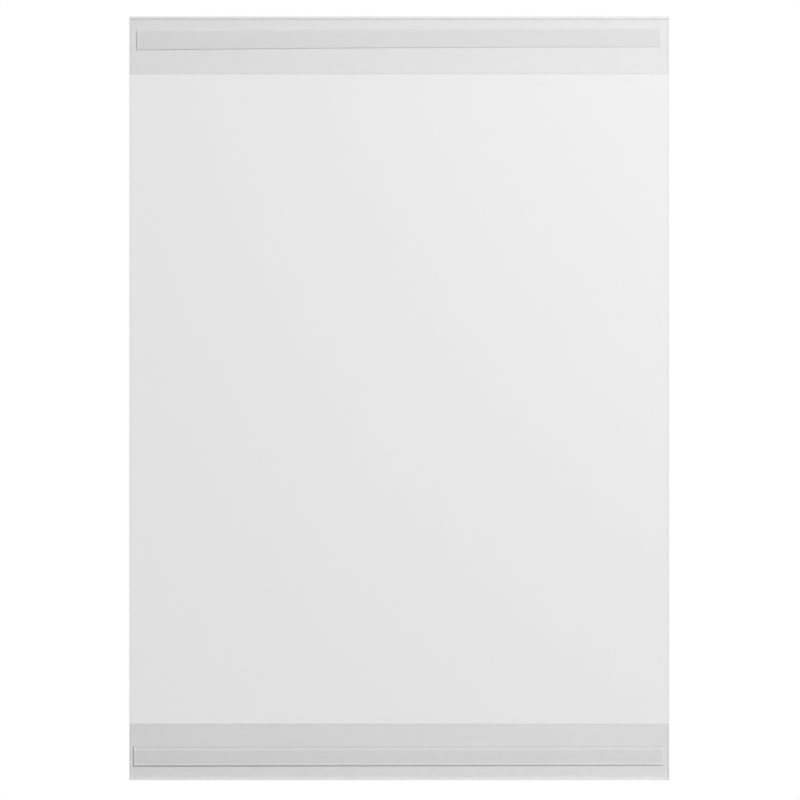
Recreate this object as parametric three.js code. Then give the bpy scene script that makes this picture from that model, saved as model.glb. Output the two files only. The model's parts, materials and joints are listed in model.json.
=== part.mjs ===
// A self-adhesive pocket for one printed sheet, to hang on a wall, a door or a window.
// One matt film forms the front and is folded back at the top and at the bottom into two flaps.
// A strip of double-sided tape with a release liner lies on the back of each flap.
// Lengths are millimetres and angles are degrees. +Z is up and the front faces -Y.
// The origin is in the middle of the wall plane, the plane in which both tapes bond (y = 0).

import * as THREE from 'three';

// The sheet that the pocket holds
const sheetWidth = 210;
const sheetHeight = 297;

// Free room around the sheet inside the pocket
const sideClearance = 2;
const endClearance = 2.8;

// Film
const filmThickness = 0.2;
const foldOuterRadius = 1;
const filmCornerRadius = 0.5;

// Flaps, measured from the outside of the fold to the free edge
const upperFlapDepth = 23;
const lowerFlapDepth = 22.5;

// Adhesive tape and its liner
const tapeWidth = 6.5;
const tapeThickness = 0.2;
const tapeCornerRadius = 0.3;
const linerThickness = 0.1;
const linerOverhang = 0.5;
const linerCornerRadius = 0.6;

// Steps in the faceted curves
const foldSegments = 8;
const cornerSegments = 4;
const bowSegments = 16;

// How each strip was laid: the distance from the outside of the fold to the middle of the strip, the bare
// film past the liner at the left and at the right, the slope up to the right, and the upward bow
const upperStrip = {
  distanceFromFold: 8.9,
  leftInset: 2.8,
  rightInset: 3.3,
  slope: 0.35,
  bow: 0.3,
};
const lowerStrip = {
  distanceFromFold: 9.5,
  leftInset: 1.5,
  rightInset: 2.7,
  slope: 0.1,
  bow: 0,
};

// Sizes that follow from these
const pocketWidth = sheetWidth + 2 * sideClearance;
const pocketHeight = sheetHeight + 2 * (endClearance + filmThickness);
const foldInnerRadius = foldOuterRadius - filmThickness;
const foldCentreY = -tapeThickness - foldOuterRadius;
const foldCentreZ = pocketHeight / 2 - foldOuterRadius;
const frontFaceY = foldCentreY - foldOuterRadius;
const flapRearY = foldCentreY + foldOuterRadius;
const linerWidth = tapeWidth + 2 * linerOverhang;

// Directions along Z of the two ends of the pocket
const up = 1;
const down = -1;

const film = new THREE.MeshStandardMaterial({
  color: 0xe6e8e7,
  roughness: 0.5,
  metalness: 0,
  transparent: true,
  opacity: 0.4,
});
const adhesive = new THREE.MeshStandardMaterial({
  color: 0xd9dbda,
  roughness: 0.3,
  metalness: 0,
  transparent: true,
  opacity: 0.6,
});
const liner = new THREE.MeshStandardMaterial({
  color: 0xe9ebeb,
  roughness: 0.2,
  metalness: 0,
  transparent: true,
  opacity: 0.4,
});

function named(name, geometry, material) {
  const mesh = new THREE.Mesh(geometry, material);
  mesh.name = name;
  return mesh;
}

// A plate cut from a thin sheet: the outline's x and y lie along X and Z, and its rear face is at rearY
function plate(outline, thickness, rearY) {
  const geometry = new THREE.ExtrudeGeometry(outline, {
    depth: thickness,
    bevelEnabled: false,
    curveSegments: cornerSegments,
  });
  geometry.rotateX(Math.PI / 2);
  geometry.translate(0, rearY, 0);
  return geometry;
}

function frontPanel() {
  const geometry = new THREE.BoxGeometry(pocketWidth, filmThickness, 2 * foldCentreZ);
  geometry.translate(0, frontFaceY + filmThickness / 2, 0);
  return named('front_panel', geometry, film);
}

// Half of a fold, a quarter of a turn from the crest to the flat film.
// side is -1 for the half in front of the crest and 1 for the half behind it.
function foldHalf(name, side, end) {
  const arcPoint = (radius, step) => {
    const angle = (step / foldSegments) * (Math.PI / 2);
    return new THREE.Vector2(side * radius * Math.sin(angle), end * radius * Math.cos(angle));
  };
  const points = [];
  for (let step = 0; step <= foldSegments; step += 1) {
    points.push(arcPoint(foldOuterRadius, step));
  }
  for (let step = foldSegments; step >= 0; step -= 1) {
    points.push(arcPoint(foldInnerRadius, step));
  }
  const section = new THREE.Shape(points);
  const geometry = new THREE.ExtrudeGeometry(section, { depth: pocketWidth, bevelEnabled: false });
  // The section's x and y become Y and Z, and the extrusion runs along X
  const turn = new THREE.Matrix4().makeBasis(
    new THREE.Vector3(0, 1, 0),
    new THREE.Vector3(0, 0, 1),
    new THREE.Vector3(1, 0, 0),
  );
  geometry.applyMatrix4(turn);
  geometry.translate(-pocketWidth / 2, foldCentreY, end * foldCentreZ);
  return named(name, geometry, film);
}

// The flat part of a flap, square where it leaves the fold and with rounded free corners
function flap(name, depth, end) {
  const half = pocketWidth / 2;
  const root = end * foldCentreZ;
  const tip = end * (pocketHeight / 2 - depth);
  const round = end * filmCornerRadius;
  const outline = new THREE.Shape();
  outline.moveTo(-half, root);
  outline.lineTo(-half, tip + round);
  outline.quadraticCurveTo(-half, tip, -half + filmCornerRadius, tip);
  outline.lineTo(half - filmCornerRadius, tip);
  outline.quadraticCurveTo(half, tip, half, tip + round);
  outline.lineTo(half, root);
  outline.closePath();
  return named(name, plate(outline, filmThickness, flapRearY), film);
}

// A long strip with rounded corners whose long edges bow upwards
function stripOutline(length, width, cornerRadius, bow) {
  const halfLength = length / 2;
  const halfWidth = width / 2;
  const inner = halfLength - cornerRadius;
  const outline = new THREE.Shape();
  outline.moveTo(-inner, -halfWidth);
  for (let step = 1; step <= bowSegments; step += 1) {
    const along = -inner + (2 * inner * step) / bowSegments;
    outline.lineTo(along, -halfWidth + bow * (1 - (along / inner) ** 2));
  }
  outline.quadraticCurveTo(halfLength, -halfWidth, halfLength, -halfWidth + cornerRadius);
  outline.lineTo(halfLength, halfWidth - cornerRadius);
  outline.quadraticCurveTo(halfLength, halfWidth, inner, halfWidth);
  for (let step = 1; step <= bowSegments; step += 1) {
    const along = inner - (2 * inner * step) / bowSegments;
    outline.lineTo(along, halfWidth + bow * (1 - (along / inner) ** 2));
  }
  outline.quadraticCurveTo(-halfLength, halfWidth, -halfLength, halfWidth - cornerRadius);
  outline.lineTo(-halfLength, -halfWidth + cornerRadius);
  outline.quadraticCurveTo(-halfLength, -halfWidth, -inner, -halfWidth);
  return outline;
}

// A tape and its liner, laid together on the back of a flap
function adhesiveStrip(prefix, lay, end) {
  const linerLength = pocketWidth - lay.leftInset - lay.rightInset;
  const tapeLength = linerLength - 2 * linerOverhang;
  const tapeOutline = stripOutline(tapeLength, tapeWidth, tapeCornerRadius, lay.bow);
  const linerOutline = stripOutline(linerLength, linerWidth, linerCornerRadius, lay.bow);
  const strip = new THREE.Group();
  strip.add(
    named(`${prefix}_adhesive_strip`, plate(tapeOutline, tapeThickness, 0), adhesive),
    named(`${prefix}_release_liner`, plate(linerOutline, linerThickness, linerThickness), liner),
  );
  strip.position.set(
    (lay.leftInset - lay.rightInset) / 2,
    0,
    end * (pocketHeight / 2 - lay.distanceFromFold),
  );
  strip.rotation.y = -THREE.MathUtils.degToRad(lay.slope);
  return strip;
}

const pocket = new THREE.Group();
pocket.name = 'document_pocket';

pocket.add(
  frontPanel(),
  foldHalf('upper_fold_front', -1, up),
  foldHalf('lower_fold_front', -1, down),
);

const upperFlap = new THREE.Group();
upperFlap.add(
  foldHalf('upper_fold_rear', 1, up),
  flap('upper_flap', upperFlapDepth, up),
  adhesiveStrip('upper', upperStrip, up),
);

const lowerFlap = new THREE.Group();
lowerFlap.add(
  foldHalf('lower_fold_rear', 1, down),
  flap('lower_flap', lowerFlapDepth, down),
  adhesiveStrip('lower', lowerStrip, down),
);

pocket.add(upperFlap, lowerFlap);

export default pocket;
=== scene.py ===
# %% [markdown]
# # A self-adhesive document pocket, dressed for its picture
# The real pocket is one sheet of matt see-through film. It is folded back at the top and at the bottom into
# two narrow flaps, and a strip of double-sided tape with a release liner lies on the back of each flap.
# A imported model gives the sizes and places, and this lesson makes the fine surfaces that stand in for it.

import json
import math

import bmesh
import bpy
from mathutils import Matrix, Vector


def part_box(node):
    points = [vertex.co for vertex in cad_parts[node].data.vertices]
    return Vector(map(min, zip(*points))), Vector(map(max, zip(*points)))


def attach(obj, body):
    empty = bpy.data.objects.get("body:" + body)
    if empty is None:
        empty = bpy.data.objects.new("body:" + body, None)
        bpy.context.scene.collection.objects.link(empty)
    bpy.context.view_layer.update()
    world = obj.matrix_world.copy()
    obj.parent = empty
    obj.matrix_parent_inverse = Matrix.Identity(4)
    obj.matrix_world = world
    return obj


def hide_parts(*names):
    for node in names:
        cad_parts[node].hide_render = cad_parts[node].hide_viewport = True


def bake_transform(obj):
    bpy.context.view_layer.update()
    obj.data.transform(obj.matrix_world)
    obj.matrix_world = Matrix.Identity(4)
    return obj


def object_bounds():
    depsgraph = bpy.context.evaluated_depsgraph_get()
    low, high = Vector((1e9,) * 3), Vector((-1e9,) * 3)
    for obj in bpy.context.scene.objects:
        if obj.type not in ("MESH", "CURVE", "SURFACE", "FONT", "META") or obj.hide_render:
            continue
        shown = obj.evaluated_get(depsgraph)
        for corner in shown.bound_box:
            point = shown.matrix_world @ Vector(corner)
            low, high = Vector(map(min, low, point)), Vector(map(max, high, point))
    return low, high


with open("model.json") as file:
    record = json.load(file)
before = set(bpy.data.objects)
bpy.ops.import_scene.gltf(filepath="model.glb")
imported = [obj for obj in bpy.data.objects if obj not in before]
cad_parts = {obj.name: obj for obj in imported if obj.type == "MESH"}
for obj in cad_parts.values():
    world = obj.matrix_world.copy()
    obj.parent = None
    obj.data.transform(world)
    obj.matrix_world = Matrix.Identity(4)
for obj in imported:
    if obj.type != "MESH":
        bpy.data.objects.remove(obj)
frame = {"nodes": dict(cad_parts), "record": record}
cad_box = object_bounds()
print("Packed pieces:", sorted(frame["nodes"]))

# %% [markdown]
# Blender counts in metres, and paper goods are made in millimetres. One name for a millimetre keeps every
# size below readable. Colours are picked as sRGB hex values, as a paint program shows them, but shaders add
# up light, so one function turns them to linear values first.

# %% Units and colours
MM = 0.001


def linear_colour(hex_value):
    """The linear RGBA of an sRGB colour such as "#D8DAD9"."""
    parts = [int(hex_value[i:i + 2], 16) / 255 for i in (1, 3, 5)]
    linear = [c / 12.92 if c <= 0.04045 else ((c + 0.055) / 1.055) ** 2.4 for c in parts]
    return (*linear, 1.0)


# %% [markdown]
# A material is a small graph of nodes. One helper adds a node, sets its sockets and its settings, and links
# it to the nodes before it. A value that is a socket becomes a link, and any other value is set as it is.

# %% A helper for nodes
def add_node(tree, kind, inputs=None, **settings):
    """Adds a node. inputs maps a socket's name or number to a value or to another node's output socket."""
    node = tree.nodes.new(kind)
    for name, value in settings.items():
        setattr(node, name, value)
    for socket, value in (inputs or {}).items():
        if isinstance(value, bpy.types.NodeSocket):
            tree.links.new(value, node.inputs[socket])
        else:
            node.inputs[socket].default_value = value
    return node


def new_material(name):
    """An empty material with its node tree."""
    material = bpy.data.materials.new(name)
    material.use_nodes = True
    tree = material.node_tree
    tree.nodes.clear()
    return material, tree


# %% [markdown]
# The camera comes first, because it says how large a millimetre is in the picture. The photograph is taken
# straight on, with no visible perspective, so a long lens stands far away. The object's centre lies a little
# up and left of the picture's, and the camera is moved by the same amount the other way.

# %% Camera
PICTURE_SIZE = 800
MM_PER_PIXEL = 0.3966
OBJECT_CENTRE_PIXEL = (399.3, 398.4)
LENS = 200
SENSOR = 36

picture_width = PICTURE_SIZE * MM_PER_PIXEL * MM
camera_distance = picture_width * LENS / SENSOR
camera_right = (PICTURE_SIZE / 2 - OBJECT_CENTRE_PIXEL[0]) * MM_PER_PIXEL * MM
camera_up = (OBJECT_CENTRE_PIXEL[1] - PICTURE_SIZE / 2) * MM_PER_PIXEL * MM
object_middle = (cad_box[0] + cad_box[1]) / 2

camera_data = bpy.data.cameras.new("photo_camera")
camera_data.lens = LENS
camera_data.sensor_width = SENSOR
camera = bpy.data.objects.new("photo_camera", camera_data)
camera.location = object_middle + Vector((camera_right, -camera_distance, camera_up))
camera.rotation_euler = (math.radians(90), 0, 0)
bpy.context.scene.collection.objects.link(camera)
bpy.context.scene.camera = camera
print(f"Camera {camera_distance:.3f} m away, {MM_PER_PIXEL} mm to a pixel")

# %% [markdown]
# No real surface has one even colour. Each material of the pocket starts from a colour and a noise texture
# that makes it a little lighter and darker from place to place. Light and shade are also painted into the
# colour: beside the folds, the cut sides and the strips, over each flap and from end to end of each tape.
# All of that comes from a number stored at each point of the mesh, the tone, which darkens the colour below
# 1 and lightens it above 1.

# %% A mottled colour
PAINTED_TONE = "painted_light_and_shade"


def mottled_colour(tree, texture, hex_colour, spread, toned=False):
    """A colour that a texture varies by spread both ways, and the mesh's stored tone of painted light and
    shade too if it is toned.
    """
    tint = add_node(tree, "ShaderNodeMapRange", {
        "Value": texture.outputs["Fac"], "To Min": 1 - spread, "To Max": 1 + spread})
    share = tint.outputs["Result"]
    if toned:
        stored = add_node(tree, "ShaderNodeAttribute", attribute_name=PAINTED_TONE)
        tone = add_node(tree, "ShaderNodeMath", {0: share, 1: stored.outputs["Fac"]}, operation="MULTIPLY")
        share = tone.outputs[0]
    colour = add_node(tree, "ShaderNodeVectorMath", {
        0: linear_colour(hex_colour)[:3], "Scale": share}, operation="SCALE")
    return colour.outputs["Vector"]


# %% [markdown]
# The film is polypropylene, about 0.2 mm thick, with a fine matt embossing rolled into it so that it doesn't
# glare. To the eye it is pale, even and a little milky: it hides part of what lies behind it and sends back
# soft light of its own. A Principled shader with a plain alpha gives that. The embossing is about 0.15 mm
# across and a few hundredths of a millimetre deep. It is drawn coarser here, at 0.5 mm and with its relief
# in proportion: too fine to see in the whole picture, but clear close up.

# %% Film material
FILM_COLOUR = "#CFCFCF"
FILM_ALPHA = 0.31
FILM_IOR = 1.49
SMOOTHEST_FILM = 0.46
ROUGHEST_FILM = 0.54
FILM_CLOUD_SIZE = 45 * MM
FILM_CLOUD_DETAIL = 2.0
FILM_SPREAD = 0.01
EMBOSS_SIZE = 0.5 * MM
EMBOSS_DETAIL = 1.0
EMBOSS_RELIEF = 0.12 * MM


def film_material(name, hex_colour, alpha):
    """Matt polypropylene film, in one of its finishes."""
    material, tree = new_material(name)
    place = add_node(tree, "ShaderNodeTexCoord").outputs["Object"]
    clouds = add_node(tree, "ShaderNodeTexNoise", {
        "Vector": place, "Scale": 1 / FILM_CLOUD_SIZE, "Detail": FILM_CLOUD_DETAIL})
    roughness = add_node(tree, "ShaderNodeMapRange", {
        "Value": clouds.outputs["Fac"], "To Min": SMOOTHEST_FILM, "To Max": ROUGHEST_FILM})
    emboss = add_node(tree, "ShaderNodeTexNoise", {
        "Vector": place, "Scale": 1 / EMBOSS_SIZE, "Detail": EMBOSS_DETAIL})
    bump = add_node(tree, "ShaderNodeBump", {
        "Height": emboss.outputs["Fac"], "Strength": 1.0, "Distance": EMBOSS_RELIEF})
    plastic = add_node(tree, "ShaderNodeBsdfPrincipled", {
        "Base Color": mottled_colour(tree, clouds, hex_colour, FILM_SPREAD, toned=True),
        "Roughness": roughness.outputs["Result"], "IOR": FILM_IOR, "Alpha": alpha,
        "Normal": bump.outputs["Normal"]})
    add_node(tree, "ShaderNodeOutputMaterial", {"Surface": plastic.outputs["BSDF"]})
    return material


def hidden_share(alpha):
    """How much a wall hides of what lies behind it. A ray meets its alpha twice, once at each face."""
    return round(1 - (1 - alpha) ** 2, 2)


matt_film = film_material("matt_embossed_polypropylene_film", FILM_COLOUR, FILM_ALPHA)
print("One wall of film hides", hidden_share(FILM_ALPHA), "of what lies behind it")

# %% [markdown]
# The film has three more materials. Where the adhesive touches the back of a matt film, it fills the
# embossing, and the film turns clearer there. Along the lower and left edges of each liner, where the strip
# turns away from the lamp, the film is painted dark and hides more: a painted shadow. And a cut edge, which
# sends out little of the light that runs inside the film, reads as a fine grey line from the side.

# %% Three more materials of the film, one of them a painted shadow
WETTED_ALPHA = 0.17
EDGE_SHADOW_COLOUR = "#565656"
EDGE_SHADOW_ALPHA = 0.65
CUT_FILM_COLOUR = "#8C8C8C"
CUT_FILM_ALPHA = 0.85

wetted_film = film_material("polypropylene_film_wetted_by_adhesive", FILM_COLOUR, WETTED_ALPHA)
edge_shadow_film = film_material("polypropylene_film_with_painted_edge_shadow", EDGE_SHADOW_COLOUR, EDGE_SHADOW_ALPHA)
cut_film = film_material("cut_edge_of_polypropylene_film", CUT_FILM_COLOUR, CUT_FILM_ALPHA)
# The crease in this print is the film of the painted shadow.
print("Film over adhesive hides", hidden_share(WETTED_ALPHA), "and a crease", hidden_share(EDGE_SHADOW_ALPHA))

# %% [markdown]
# The strips were laid a fraction of a degree off level, and the upper one bows. The middle of each strip is a
# mount in the record. Its slope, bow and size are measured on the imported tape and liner, so that everything
# drawn around them follows the same line. The heights are taken where the round corners begin, because nearer
# the tips the slope would show one corner more than the other.

# %% Measure the strips
TAPE_CORNER = 0.3 * MM
LINER_CORNER = 0.6 * MM
END_REACH = 0.05 * MM
MIDDLE_REACH = 0.5 * MM

mounts = {mount["name"]: Vector(mount["pos_m"]) for mount in frame["record"]["mounts"]}


def measure_strip(node_name, middle, corner):
    """Where a packed strip lies: its middle, slope, bow, length, width, corner radius, front and back."""
    points = [v.co for v in frame["nodes"][node_name].data.vertices]
    left = min(p.x for p in points)
    right = max(p.x for p in points)

    def heights_at(x, reach):
        """The heights of the strip's lowest and highest point within reach of x."""
        near = [p.z for p in points if abs(p.x - x) < reach]
        return min(near), max(near)

    left_height = sum(heights_at(left + corner, END_REACH)) / 2
    right_height = sum(heights_at(right - corner, END_REACH)) / 2
    middle_low, middle_high = heights_at((left + right) / 2, MIDDLE_REACH)
    slope = math.atan2(right_height - left_height, right - left - 2 * corner)
    low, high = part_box(node_name)
    strip = {
        "middle": middle,
        "slope": slope,
        "bow": (middle_low + middle_high - left_height - right_height) / 2,
        "length": (right - left) / math.cos(slope),
        "width": middle_high - middle_low,
        "corner": corner,
        "front": low.y,
        "back": high.y,
    }
    print(f"{node_name}: {strip['length'] / MM:.1f} x {strip['width'] / MM:.2f} mm, "
          f"slope {math.degrees(slope):.2f} degrees, bow {strip['bow'] / MM:.2f} mm")
    return strip


ENDS = ("upper", "lower")
middles = {end: mounts[f"{end}_strip_back"] for end in ENDS}
tapes = {end: measure_strip(f"{end}_adhesive_strip", middles[end], TAPE_CORNER) for end in ENDS}
liners = {end: measure_strip(f"{end}_release_liner", middles[end], LINER_CORNER) for end in ENDS}


def strip_place(strip, x, z):
    """How far x, z lies along a strip and across it, both from the strip's curved middle line."""
    right = x - strip["middle"].x
    up = z - strip["middle"].z
    along = right * math.cos(strip["slope"]) + up * math.sin(strip["slope"])
    across = up * math.cos(strip["slope"]) - right * math.sin(strip["slope"])
    share = max(-1.0, min(1.0, 2 * along / strip["length"]))
    return along, across - strip["bow"] * (1 - share ** 2)


def strip_height(strip, x, across):
    """The height at x of a line beside a strip's middle line. across is how far above it the line runs."""
    right = x - strip["middle"].x
    share = max(-1.0, min(1.0, 2 * right / strip["length"]))
    rise = right * math.tan(strip["slope"])
    return strip["middle"].z + rise + strip["bow"] * (1 - share ** 2) + across


# %% [markdown]
# A sheet is easiest to make as a grid: columns from left to right, and in each column a row of points that
# follows the section of the sheet. The same grid is laid twice, once for each face of the sheet, and a rim
# joins the two, so the piece is one closed body. Each piece of film below only has to say where its section
# runs. Real film lets nine tenths of the light through, however much it scatters it, so a piece of film casts
# no shadow here: an alpha alone would darken whatever lies behind it far too much.

# %% A closed sheet from its section
SHARP_ANGLE = math.radians(40)
SMALLEST_STEP = 0.03 * MM


def add_piece(name, vertices, faces, kinds, materials):
    """A mesh object with its faces turned outwards. kinds says which of the materials each face has."""
    mesh = bpy.data.meshes.new(name)
    mesh.from_pydata(vertices, [], faces)
    for material in materials:
        mesh.materials.append(material)
    mesh.polygons.foreach_set("material_index", kinds)
    work = bmesh.new()
    work.from_mesh(mesh)
    bmesh.ops.recalc_face_normals(work, faces=work.faces)
    work.to_mesh(mesh)
    work.free()
    piece = bpy.data.objects.new(name, mesh)
    bpy.context.scene.collection.objects.link(piece)
    return piece


def store_painted_tone(piece, tones):
    """Stores one tone of painted light and shade for each point of a piece."""
    tone = piece.data.attributes.new(PAINTED_TONE, "FLOAT", "POINT")
    tone.data.foreach_set("value", tones)


def closed_sheet(name, columns, section, materials, material_at=None, free_edge=False):
    """A closed sheet. section(x) gives rows of (front point, back point, tone), the same number at every x.
    material_at(x, z) says which of the materials a cell of the grid has, from its middle. The last material
    is that of the cut edges: both sides, and the last row too where it is a free edge."""
    grid = [section(x) for x in columns]
    rows = len(grid[0])
    cut_kind = len(materials) - 1
    vertices = [row[face] for column in grid for face in (0, 1) for row in column]
    tones = [row[2] for column in grid for face in (0, 1) for row in column]

    def vertex(column, row, face):
        """The number of the point at a column and a row, on the front face (0) or the back face (1)."""
        return column * 2 * rows + face * rows + row

    faces = []
    kinds = []
    for c in range(len(columns) - 1):
        for r in range(rows - 1):
            corners = [Vector(vertices[vertex(c + i, r + j, 0)]) for i in (0, 1) for j in (0, 1)]
            middle = sum(corners, Vector()) / 4
            kind = material_at(middle.x, middle.z) if material_at else 0
            for face in (0, 1):
                faces.append([
                    vertex(c, r, face), vertex(c + 1, r, face),
                    vertex(c + 1, r + 1, face), vertex(c, r + 1, face)])
                kinds.append(kind)
        for r in (0, rows - 1):
            faces.append([vertex(c, r, 0), vertex(c, r, 1), vertex(c + 1, r, 1), vertex(c + 1, r, 0)])
            kinds.append(cut_kind if free_edge and r > 0 else 0)
    for c in (0, len(columns) - 1):
        for r in range(rows - 1):
            faces.append([vertex(c, r, 0), vertex(c, r, 1), vertex(c, r + 1, 1), vertex(c, r + 1, 0)])
            kinds.append(cut_kind)

    piece = add_piece(name, vertices, faces, kinds, materials)
    store_painted_tone(piece, tones)
    piece.data.shade_smooth()
    piece.data.set_sharp_from_angle(angle=SHARP_ANGLE)
    piece.visible_shadow = False
    return piece


def steps(start, end, count):
    """count + 1 evenly spaced values from start to end."""
    return [start + (end - start) * i / count for i in range(count + 1)]


def between(start, end, share):
    """The value at a share of the way from start to end."""
    return start + (end - start) * share


def in_order(places):
    """Places sorted upwards, without any that nearly repeats the one before it."""
    kept = []
    for place in sorted(places):
        if not kept or place - kept[-1] > SMALLEST_STEP:
            kept.append(place)
    return kept


def bell(distance, width):
    """1 at distance 0, falling off smoothly to nearly nothing at twice the width."""
    return math.exp(-(distance / width) ** 2)


# %% [markdown]
# Light and shade are painted into the film beside each fold. At the top the film turns over into a painted
# highlight along the rim, and a fine painted dark line runs where the bend begins. At the bottom the film is
# painted palest at the rim, a painted reflection. The blade that cut the sides bent the edges back a little,
# so the right one catches the light and the left one turns away from it, and a faint painted dark line runs
# beside each edge. Each mark is a bell around a distance from the outside: how much it changes the tone,
# that distance, and its width.

# %% Painted light and shade beside the folds and the cut sides
FOLD_LIGHT_AND_SHADE = {
    "upper": ((0.45, 0.25 * MM, 0.35 * MM), (-0.40, 1.12 * MM, 0.26 * MM)),
    "lower": ((0.55, 0.15 * MM, 0.40 * MM), (0.18, 1.02 * MM, 0.25 * MM), (0.03, 2.00 * MM, 0.80 * MM)),
}
SIDE_SHADE = {
    "left": (-0.06, 0.25 * MM, 0.20 * MM),
    "right": (-0.13, 0.60 * MM, 0.25 * MM),
}
CURL_DEPTH = 0.05 * MM
CURL_WIDTH = 0.5 * MM

panel_low, panel_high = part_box("front_panel")
half_width = panel_high.x
film_thickness = panel_high.y - panel_low.y
fold_outside = {"upper": cad_box[1].z, "lower": cad_box[0].z}
print(f"Film {film_thickness / MM:.2f} mm thick and {2 * half_width / MM:.0f} mm wide")


def fold_painted_light(end, z):
    """The painted light and shade of the film beside a fold, at a height z."""
    distance = abs(fold_outside[end] - z)
    return 1 + sum(change * bell(distance - place, width) for change, place, width in FOLD_LIGHT_AND_SHADE[end])


def side_painted_shade(x):
    """The painted shade of the film beside a cut side, at x."""
    change, place, width = SIDE_SHADE["left" if x < 0 else "right"]
    return 1 + change * bell(half_width - abs(x) - place, width)


def curl(x):
    """How far the film's cut side edges bend back at x."""
    inside = half_width - abs(x)
    return CURL_DEPTH * max(0.0, 1 - inside / CURL_WIDTH) ** 2


# %% [markdown]
# The front is the flat wall that the sheet shows through. A film this thin is never a perfect plane: it
# relaxes a little into the slot behind it between the folds. The dip is at most a quarter of a millimetre,
# too small to see straight on. Two slow waves make it uneven, each given by its share of the dip, the length
# over which it advances by one radian, and the angle it has in the middle of the film.

# %% Front film
FRONT_DIP = 0.25 * MM
EVEN_SHARE = 0.65
WAVE_ACROSS = (0.20, 31 * MM, 0.6)
WAVE_ALONG = (0.15, 44 * MM, -0.4)
FRONT_COLUMNS = 48
FRONT_ROWS = 56
MARKED_DEPTH = 3 * MM
MARKED_ROWS = 20
MARKED_WIDTH = 1.2 * MM
MARKED_COLUMNS = 8

plain_width = half_width - MARKED_WIDTH
side_columns = (
    steps(-half_width, -plain_width, MARKED_COLUMNS)
    + steps(plain_width, half_width, MARKED_COLUMNS))


def wave_at(place, wave):
    """A wave's share of the dip at a place."""
    share, radian_length, middle_angle = wave
    return share * math.sin(place / radian_length + middle_angle)


def dip(x, z):
    """How far the front leans into the slot at x, z. It is nothing along every edge."""
    across = math.cos(math.pi / 2 * x / half_width)
    along = math.cos(math.pi / 2 * z / panel_high.z)
    uneven = EVEN_SHARE + wave_at(x, WAVE_ACROSS) + wave_at(z, WAVE_ALONG)
    return FRONT_DIP * uneven * across * along


front_columns = in_order(side_columns + steps(-plain_width, plain_width, FRONT_COLUMNS))
front_heights = in_order(
    steps(panel_low.z, panel_low.z + MARKED_DEPTH, MARKED_ROWS)
    + steps(panel_low.z + MARKED_DEPTH, panel_high.z - MARKED_DEPTH, FRONT_ROWS)
    + steps(panel_high.z - MARKED_DEPTH, panel_high.z, MARKED_ROWS))


def front_section(x):
    """The rows of the front film at x, from the lower fold to the upper one."""
    rows = []
    for z in front_heights:
        y = panel_low.y + dip(x, z) + curl(x)
        tone = fold_painted_light("upper", z) * fold_painted_light("lower", z) * side_painted_shade(x)
        rows.append(((x, y, z), (x, y + film_thickness, z), tone))
    return rows


front_film = closed_sheet("front_film", front_columns, front_section, [matt_film, cut_film])
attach(front_film, "front")
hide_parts("front_panel")
print("Front film:", len(front_film.data.polygons), "faces")

# %% [markdown]
# Along the lower and left edges of each liner, where the strip turns away from the lamp, a dark line is
# painted into the film of the flap: a painted shadow. Each painted shadow has a width at the strip's left end
# and one at its right end. The other marks are soft painted light and shade: bells around an edge, given by
# how much they change the tone, how far outside the edge they lie, and their width. Over the overhang of the
# liner the film is painted as dark as over the tape, and a painted light line runs inside the tape's edge.
# Every mark ends where its own edge does, at the two edges beside it.

# %% Light and shade painted into the film around the strips
EDGE_SHADOW_WIDTHS = {
    "upper": {"below": (0.33 * MM, 0.24 * MM), "left": (0.44 * MM, 0.44 * MM)},
    "lower": {"below": (0.60 * MM, 0.46 * MM), "left": (0.48 * MM, 0.48 * MM)},
}
EDGE_LIGHT_AND_SHADE = {
    "upper": (
        ("above", -0.18, -0.25 * MM, 0.25 * MM),
        ("above", 0.25, -0.87 * MM, 0.30 * MM),
        ("below", -0.08, -0.25 * MM, 0.25 * MM),
        ("left", 0.50, -0.80 * MM, 0.25 * MM),
        ("right", -0.18, -0.25 * MM, 0.25 * MM),
        ("right", 0.08, 0.50 * MM, 0.35 * MM),
    ),
    "lower": (
        ("above", -0.45, -0.10 * MM, 0.25 * MM),
        ("above", 1.20, -0.87 * MM, 0.30 * MM),
        ("below", 0.90, -0.80 * MM, 0.25 * MM),
        ("left", 0.60, -0.80 * MM, 0.25 * MM),
        ("right", -0.45, -0.25 * MM, 0.25 * MM),
        ("right", 0.15, 0.50 * MM, 0.35 * MM),
    ),
}
BESIDE = {
    "below": ("left", "right"),
    "above": ("left", "right"),
    "left": ("below", "above"),
    "right": ("below", "above"),
}


def outside_edges(strip, x, z):
    """How far x, z lies outside each edge of a strip. It is negative inside."""
    along, across = strip_place(strip, x, z)
    return {
        "left": -strip["length"] / 2 - along,
        "right": along - strip["length"] / 2,
        "below": -strip["width"] / 2 - across,
        "above": across - strip["width"] / 2,
    }


def edge_shadow_width(end, edge, along):
    """The width of the painted shadow on an edge of a liner, at a place along it, or 0 where the edge has
    none.
    """
    at_left, at_right = EDGE_SHADOW_WIDTHS[end].get(edge, (0.0, 0.0))
    share = max(0.0, min(1.0, along / liners[end]["length"] + 0.5))
    return between(at_left, at_right, share)


def in_edge_shadow(end, x, z):
    """Whether x, z lies in one of the painted shadows along the edges of a liner."""
    along = strip_place(liners[end], x, z)[0]
    outside = outside_edges(liners[end], x, z)
    for edge in EDGE_SHADOW_WIDTHS[end]:
        reach = edge_shadow_width(end, edge, along) / 2
        past_end = max(outside[other] for other in BESIDE[edge])
        if abs(outside[edge]) < reach and past_end < reach:
            return True
    return False


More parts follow.
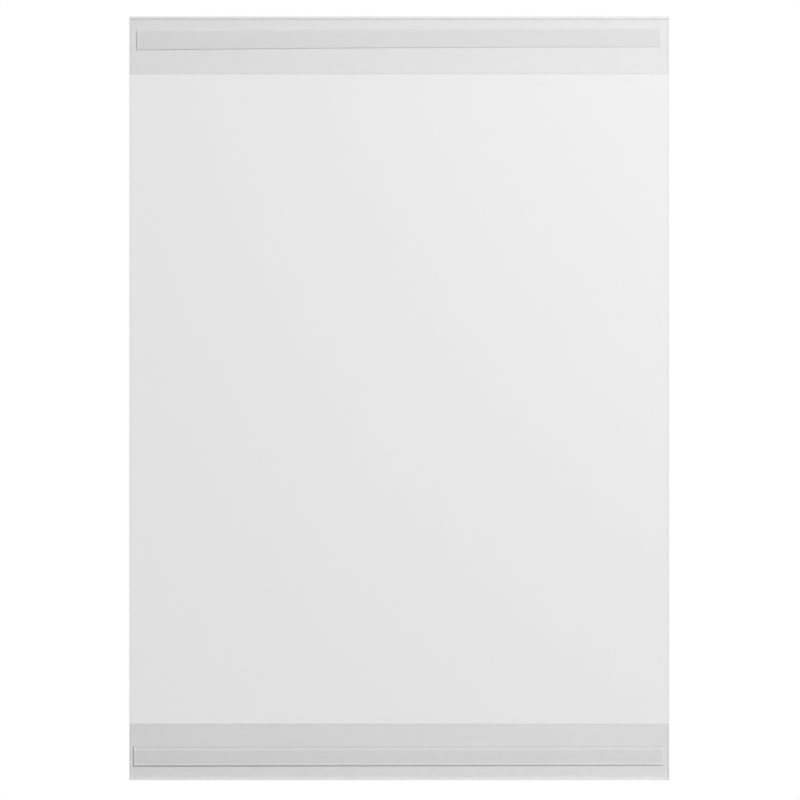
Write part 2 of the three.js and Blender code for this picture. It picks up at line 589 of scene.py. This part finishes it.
def strip_edge_painted_light(end, x, z):
    """The painted light and shade around the edges of a strip, in the film of its flap at x, z."""
    outside = outside_edges(liners[end], x, z)
    tone = 1.0
    for edge, change, place, width in EDGE_LIGHT_AND_SHADE[end]:
        past_end = max(0.0, *(outside[other] for other in BESIDE[edge]))
        tone += change * bell(outside[edge] - place, width) * bell(past_end, width)
    return tone


# %% [markdown]
# The film of a flap is a grid as well. Its rows and columns close up around the edges of the strip, so that
# the painted lines come out sharp, and one function gives the places around each edge.

# %% Rows and columns around the edges of a strip
OUTER_REACH = 0.9 * MM
INNER_REACH = 1.3 * MM
REACH_STEPS = 5
OVERHANG_STEPS = 2
PLAIN_LINE = 0.1 * MM


def around(end, edge, along, place, inwards):
    """Places across an edge of a liner at place, from outside it to inside it. inwards is 1 or -1."""
    line = max(PLAIN_LINE, edge_shadow_width(end, edge, along))
    overhang = (liners[end]["width"] - tapes[end]["width"]) / 2
    offsets = (
        steps(-OUTER_REACH, -line / 2, REACH_STEPS)
        + steps(line / 2, overhang, OVERHANG_STEPS)
        + steps(overhang, INNER_REACH, REACH_STEPS)[1:])
    return [place + inwards * offset for offset in offsets]


# %% [markdown]
# Each flap and its fold are one stretch of the same film, made as one piece from the front of the fold, round
# it, to the free edge of the flap. The upper flap grows a little greyer towards its right end than the lamp
# alone would make it, which is painted shade, so each flap has a tone at its left and right end.

# %% Fold and flap films
FOLD_STEPS = 24
BESIDE_FOLD = 1.5 * MM
ROWS_BESIDE_FOLD = 8
ROWS_BEFORE_STRIP = 4
ROWS_PAST_STRIP = 6
STRIP_COLUMNS = 40
CORNER_RADIUS = 0.5 * MM
# These end tones are painted shade: the upper flap is painted greyer towards its right end than the lamp
# alone would make it.
FLAP_PAINTED_SHADE = {"upper": (1.0, 0.85), "lower": (1.0, 1.0)}
FLAP_MATERIALS = [matt_film, wetted_film, edge_shadow_film, cut_film]


def make_flap(end):
    """The film from the front of the fold, round it, to the free edge of the flap."""
    up = 1 if end == "upper" else -1
    fold_low, fold_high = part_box(f"{end}_fold_front")
    flap_low, flap_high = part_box(f"{end}_flap")
    outer = fold_high.z - fold_low.z
    inner = outer - film_thickness
    centre_y = fold_high.y
    crest = fold_outside[end]
    root = crest - up * outer
    tip = flap_low.z if up > 0 else flap_high.z
    liner = liners[end]
    tape = tapes[end]
    half_length = liner["length"] / 2
    half_height = liner["width"] / 2
    left_painted_tone, right_painted_tone = FLAP_PAINTED_SHADE[end]

    def strip_heights(x):
        """Heights of the rows that follow the strip at x, from the fold towards the free edge."""
        along = x - liner["middle"].x
        above = around(end, "above", along, half_height, -1)
        below = around(end, "below", along, -half_height, 1)
        return [strip_height(liner, x, place) for place in (above + below[::-1])[::up]]

    def section(x):
        """The rows at x, from the front of the fold, round it and over the strip to the free edge."""
        rows = []
        bend = curl(x)
        for i in range(FOLD_STEPS + 1):
            angle = math.pi * i / FOLD_STEPS
            y, z = -math.cos(angle), up * math.sin(angle)
            tone = fold_painted_light(end, root + outer * z) * side_painted_shade(x)
            rows.append((
                (x, centre_y + outer * y + bend, root + outer * z),
                (x, centre_y + inner * y + bend, root + inner * z),
                tone))
        past_corner = max(0.0, abs(x) - (half_width - CORNER_RADIUS)) / CORNER_RADIUS
        edge = tip + up * CORNER_RADIUS * (1 - math.sqrt(max(0.0, 1 - past_corner ** 2)))
        across = strip_heights(x)
        beside = root - up * BESIDE_FOLD
        heights = (
            steps(root, beside, ROWS_BESIDE_FOLD)[1:]
            + steps(beside, across[0], ROWS_BEFORE_STRIP)[1:-1]
            + across
            + steps(across[-1], edge, ROWS_PAST_STRIP)[1:])
        rightness = (x / half_width + 1) / 2
        flap_painted_shade = between(left_painted_tone, right_painted_tone, rightness ** 2)
        for z in heights:
            tone = flap_painted_shade * fold_painted_light(end, z) * side_painted_shade(x) * strip_edge_painted_light(end, x, z)
            rows.append(((x, flap_high.y + bend, z), (x, flap_low.y + bend, z), tone))
        return rows

    def material_at(x, z):
        """The number of the film's material at x, z: the painted edge shadow, the film over the tape or the
        matt film.
        """
        if in_edge_shadow(end, x, z):
            return FLAP_MATERIALS.index(edge_shadow_film)
        over_tape = max(outside_edges(tape, x, z).values()) < 0
        return FLAP_MATERIALS.index(wetted_film if over_tape else matt_film)

    left_line = around(end, "left", -half_length, liner["middle"].x - half_length, 1)
    right_line = around(end, "right", half_length, liner["middle"].x + half_length, -1)
    middle = steps(left_line[-1], right_line[-1], STRIP_COLUMNS)
    piece = closed_sheet(
        f"{end}_flap_film", in_order(side_columns + left_line + middle + right_line), section,
        FLAP_MATERIALS, material_at, free_edge=True)
    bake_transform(piece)
    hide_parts(f"{end}_fold_front", f"{end}_fold_rear", f"{end}_flap")
    print(f"{end} flap film: {len(piece.data.polygons)} faces, free edge at z = {tip / MM:.1f} mm")


for end in ENDS:
    make_flap(end)

# %% [markdown]
# The tape is a clear carrier with acrylic adhesive on both faces. Close up it is never quite even: the
# adhesive was coated wet, and it shows faint clouds a few millimetres across. It is a little greyer and
# glossier than the film.

# %% Tape material
TAPE_COLOUR = "#B9BABA"
TAPE_ALPHA = 0.28
TAPE_ROUGHNESS = 0.3
TAPE_IOR = 1.47
TAPE_CLOUD_SIZE = 3 * MM
TAPE_CLOUD_DETAIL = 3.0
TAPE_SPREAD = 0.03
COATING_BUMP = 0.1
COATING_RELIEF = 0.05 * MM

acrylic_tape, tree = new_material("acrylic_adhesive_tape")
place = add_node(tree, "ShaderNodeTexCoord").outputs["Object"]
clouds = add_node(tree, "ShaderNodeTexNoise", {
    "Vector": place, "Scale": 1 / TAPE_CLOUD_SIZE, "Detail": TAPE_CLOUD_DETAIL})
bump = add_node(tree, "ShaderNodeBump", {
    "Height": clouds.outputs["Fac"], "Strength": COATING_BUMP, "Distance": COATING_RELIEF})
adhesive = add_node(tree, "ShaderNodeBsdfPrincipled", {
    "Base Color": mottled_colour(tree, clouds, TAPE_COLOUR, TAPE_SPREAD, toned=True),
    "Roughness": TAPE_ROUGHNESS, "IOR": TAPE_IOR, "Alpha": TAPE_ALPHA, "Normal": bump.outputs["Normal"]})
add_node(tree, "ShaderNodeOutputMaterial", {"Surface": adhesive.outputs["BSDF"]})
print("A tape hides", hidden_share(TAPE_ALPHA), "of what lies behind it")

# %% [markdown]
# The release liner is smooth polyester with a silicone coating, which is why it peels off the adhesive. It
# is the clearest and glossiest piece. It was slit with a slanting blade, so along the lower and left edges
# the cut face looks to the front. The cut face is rough, and its dark grey is painted shadow: it stands for
# the shade along the two edges that turn away from the lamp, and reads as a dark line.

# %% Liner materials
LINER_COLOUR = "#DDDFDF"
LINER_ALPHA = 0.12
LINER_ROUGHNESS = 0.22
POLYESTER_IOR = 1.57
LINER_WAVE_SIZE = 12 * MM
LINER_WAVE_DETAIL = 1.0
LINER_SPREAD = 0.02
LINER_BUMP = 0.08
LINER_RELIEF = 0.1 * MM
SLIT_SHADOW_COLOUR = "#3C3D3D"
SLIT_ROUGHNESS = 0.7
SLIT_SIZE = 0.3 * MM
SLIT_DETAIL = 2.0
SLIT_SPREAD = 0.2

liner_film, tree = new_material("siliconised_polyester_liner")
place = add_node(tree, "ShaderNodeTexCoord").outputs["Object"]
waves = add_node(tree, "ShaderNodeTexNoise", {
    "Vector": place, "Scale": 1 / LINER_WAVE_SIZE, "Detail": LINER_WAVE_DETAIL})
bump = add_node(tree, "ShaderNodeBump", {
    "Height": waves.outputs["Fac"], "Strength": LINER_BUMP, "Distance": LINER_RELIEF})
silicone = add_node(tree, "ShaderNodeBsdfPrincipled", {
    "Base Color": mottled_colour(tree, waves, LINER_COLOUR, LINER_SPREAD),
    "Roughness": LINER_ROUGHNESS, "IOR": POLYESTER_IOR, "Alpha": LINER_ALPHA,
    "Normal": bump.outputs["Normal"]})
add_node(tree, "ShaderNodeOutputMaterial", {"Surface": silicone.outputs["BSDF"]})

slit_edge_shadow, tree = new_material("slit_polyester_edge_painted_shadow")
place = add_node(tree, "ShaderNodeTexCoord").outputs["Object"]
scratches = add_node(tree, "ShaderNodeTexNoise", {
    "Vector": place, "Scale": 1 / SLIT_SIZE, "Detail": SLIT_DETAIL})
cut = add_node(tree, "ShaderNodeBsdfPrincipled", {
    "Base Color": mottled_colour(tree, scratches, SLIT_SHADOW_COLOUR, SLIT_SPREAD),
    "Roughness": SLIT_ROUGHNESS, "IOR": POLYESTER_IOR})
add_node(tree, "ShaderNodeOutputMaterial", {"Surface": cut.outputs["BSDF"]})
print("A liner hides", hidden_share(LINER_ALPHA), "of what lies behind it")

# %% [markdown]
# A tape or a liner is a long plate with rounded corners. Its columns close up towards the corners, and each
# column is one ring of four points: two on the front and two on the back. Moving the front pair in by the
# width of the slanting cut makes the cut face visible from the front. Real tape and liner let most of the
# light through, as real film does, so a plate casts no shadow either.

# %% A plate in the place of a strip
RING_POINTS = 4
PLATE_COLUMNS = 40
CORNER_ANGLES = (0, 30, 60, 80, 90)


def plate_places(left, right, corner):
    """Places along a plate from end to end, closer together where its corners are round."""
    arc = [corner * (1 - math.cos(math.radians(a))) for a in CORNER_ANGLES]
    start = [left + a for a in arc]
    finish = [right - a for a in reversed(arc)]
    return start + steps(start[-1], finish[0], PLATE_COLUMNS)[1:-1] + finish


def strip_plate(name, strip, front_y, back_y, cut_width, materials):
    """A plate in the place of a packed strip. cut_width is how wide its cut shows at left and below."""
    half_length = strip["length"] / 2
    half_height = strip["width"] / 2
    corner = strip["corner"]

    def pair(along, y, cut):
        """The low and the high point of a plate's face at a place along it."""
        left, low = -half_length + cut, -half_height + cut
        past = max(left + corner - along, along - (half_length - corner), 0.0) / corner
        rounded = corner * (1 - math.sqrt(max(0.0, 1 - past ** 2)))
        rise = strip["bow"] * (1 - (along / half_length) ** 2)
        return [(along, y, low + rounded + rise), (along, y, half_height - rounded + rise)]

    vertices = []
    for along_front, along_back in zip(
            plate_places(-half_length + cut_width, half_length, corner),
            plate_places(-half_length, half_length, corner)):
        vertices += pair(along_front, front_y, cut_width) + pair(along_back, back_y, 0.0)
    # On a liner the last material is the painted shadow on the lower and left cut faces.
    cut_kind = len(materials) - 1
    faces = []
    kinds = []
    last = len(vertices) - RING_POINTS
    for here in range(0, last, RING_POINTS):
        there = here + RING_POINTS
        faces.append([here, there, there + 1, here + 1])
        faces.append([here + 2, here + 3, there + 3, there + 2])
        faces.append([here, here + 2, there + 2, there])
        faces.append([here + 1, there + 1, there + 3, here + 3])
        kinds += [0, 0, cut_kind, 0]
    faces.append([0, 1, 3, 2])
    faces.append([last, last + 2, last + 3, last + 1])
    kinds += [cut_kind, 0]
    piece = add_piece(name, vertices, faces, kinds, materials)
    turn = Matrix.Rotation(-strip["slope"], 4, "Y")
    piece.data.transform(Matrix.Translation((strip["middle"].x, 0, strip["middle"].z)) @ turn)
    piece.visible_shadow = False
    return piece


# %% [markdown]
# The tape keeps a hundredth of a millimetre from the film and from the liner, so that no two faces share one
# plane. The upper tape is the greyer of the two, and both grow greyer towards their right ends: this is
# painted light and shade, laid over what the lamp gives, so each tape has a tone at its left and at its
# right end.

# %% Tapes and liners
CONTACT_GAP = 0.01 * MM
CUT_WIDTH = 0.15 * MM
TAPE_PAINTED_TONES = {"upper": (1.05, 0.65), "lower": (1.25, 1.10)}

for end in ENDS:
    tape = tapes[end]
    tape_piece = strip_plate(
        f"{end}_tape", tape, tape["front"] + CONTACT_GAP, tape["back"] - CONTACT_GAP, 0.0, [acrylic_tape])
    left_painted_tone, right_painted_tone = TAPE_PAINTED_TONES[end]
    shares = [(v.co.x - tape["middle"].x) / tape["length"] + 0.5 for v in tape_piece.data.vertices]
    store_painted_tone(tape_piece, [between(left_painted_tone, right_painted_tone, share) for share in shares])
    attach(tape_piece, f"{end}_flap")
    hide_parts(f"{end}_adhesive_strip")

    liner = liners[end]
    liner_piece = strip_plate(
        f"{end}_liner", liner, liner["front"], liner["back"], CUT_WIDTH, [liner_film, slit_edge_shadow])
    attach(liner_piece, f"{end}_liner")
    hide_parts(f"{end}_release_liner")
    print(f"{end} tape and liner laid")

# %% [markdown]
# The studio is plain: white all round, one soft lamp high on the right in front, which makes the film paler
# at the upper right than at the lower left, and one behind for the back. Rays from the camera see pure white,
# and so do rays that a glossy or clear surface sends on, because the sheen should show the same white. The
# light that falls on the film is a softer grey, so that the pale film keeps its own tone.

# %% World and lamps
WHITE = linear_colour("#FFFFFF")
AMBIENT_STRENGTH = 0.36
KEY_PLACE = Vector((0.40, -0.60, 0.30))
KEY_SIZE = 0.3
KEY_POWER = 4.45
BACK_PLACE = Vector((0.50, 0.70, 0.40))
BACK_SIZE = 0.5
BACK_POWER = 5.0

world = bpy.data.worlds.new("white_studio")
bpy.context.scene.world = world
world.use_nodes = True
tree = world.node_tree
tree.nodes.clear()
rays = add_node(tree, "ShaderNodeLightPath")
ambient = add_node(tree, "ShaderNodeBackground", {"Color": WHITE, "Strength": AMBIENT_STRENGTH})
backdrop = add_node(tree, "ShaderNodeBackground", {"Color": WHITE, "Strength": 1.0})
direct_or_glossy = add_node(tree, "ShaderNodeMath", {
    0: rays.outputs["Is Camera Ray"], 1: rays.outputs["Is Glossy Ray"]}, operation="MAXIMUM")
sees_white = add_node(tree, "ShaderNodeMath", {
    0: direct_or_glossy.outputs[0], 1: rays.outputs["Is Transmission Ray"]}, operation="MAXIMUM")
mixed = add_node(tree, "ShaderNodeMixShader", {
    0: sees_white.outputs[0], 1: ambient.outputs[0], 2: backdrop.outputs[0]})
add_node(tree, "ShaderNodeOutputWorld", {"Surface": mixed.outputs[0]})


def soft_lamp(name, place, size, power):
    """A square area lamp that looks at the middle of the object."""
    data = bpy.data.lights.new(name, "AREA")
    data.shape = "SQUARE"
    data.size = size
    data.energy = power
    lamp = bpy.data.objects.new(name, data)
    lamp.location = place
    lamp.rotation_euler = (-place).to_track_quat("-Z", "Y").to_euler()
    bpy.context.scene.collection.objects.link(lamp)
    print(f"{name}: {power} W, {size} m across")


soft_lamp("key_lamp", KEY_PLACE, KEY_SIZE, KEY_POWER)
soft_lamp("back_lamp", BACK_PLACE, BACK_SIZE, BACK_POWER)

# %% [markdown]
# A pocket like this hangs on a wall, but a wall would hide its back, so only a floor is added, well below it.
# The floor is a pale round that lets most of the white behind it through and thins out towards its rim, so
# it has no edge.

# %% Floor
FLOOR_DEPTH = 0.35
FLOOR_RADIUS = 2.4
FLOOR_SIDES = 96
FADE_START = 0.2 * FLOOR_RADIUS
FADE_END = 0.85 * FLOOR_RADIUS
FLOOR_COVER = 0.22
FLOOR_COLOUR = "#EDEDED"
FLOOR_ROUGHNESS = 0.8

pale_floor, tree = new_material("pale_studio_floor")
place = add_node(tree, "ShaderNodeTexCoord").outputs["Object"]
distance = add_node(tree, "ShaderNodeVectorMath", {0: place}, operation="LENGTH")
cover = add_node(tree, "ShaderNodeMapRange", {
    "Value": distance.outputs["Value"], "From Min": FADE_START, "From Max": FADE_END,
    "To Min": FLOOR_COVER, "To Max": 0.0}, interpolation_type="SMOOTHSTEP")
paint = add_node(tree, "ShaderNodeBsdfPrincipled", {
    "Base Color": linear_colour(FLOOR_COLOUR), "Roughness": FLOOR_ROUGHNESS,
    "Alpha": cover.outputs["Result"]})
add_node(tree, "ShaderNodeOutputMaterial", {"Surface": paint.outputs["BSDF"]})

floor_mesh = bpy.data.meshes.new("floor")
floor_angles = [math.tau * i / FLOOR_SIDES for i in range(FLOOR_SIDES)]
floor_mesh.from_pydata(
    [(FLOOR_RADIUS * math.cos(a), FLOOR_RADIUS * math.sin(a), 0) for a in floor_angles],
    [], [list(range(FLOOR_SIDES))])
floor_mesh.materials.append(pale_floor)
floor = bpy.data.objects.new("floor", floor_mesh)
floor.location = (0, 0, -FLOOR_DEPTH)
bpy.context.scene.collection.objects.link(floor)
print(f"Floor {FLOOR_DEPTH} m below the middle of the pocket")

# %% [markdown]
# A ray may cross many thin walls before it reaches the background, and each surface counts as one
# see-through step, so the limit is raised above what an opened pocket needs. The Standard view shows each
# colour as it was written.

# %% View settings
SEE_THROUGH_STEPS = 32

bpy.context.scene.cycles.transparent_max_bounces = SEE_THROUGH_STEPS
bpy.context.scene.view_settings.view_transform = "Standard"
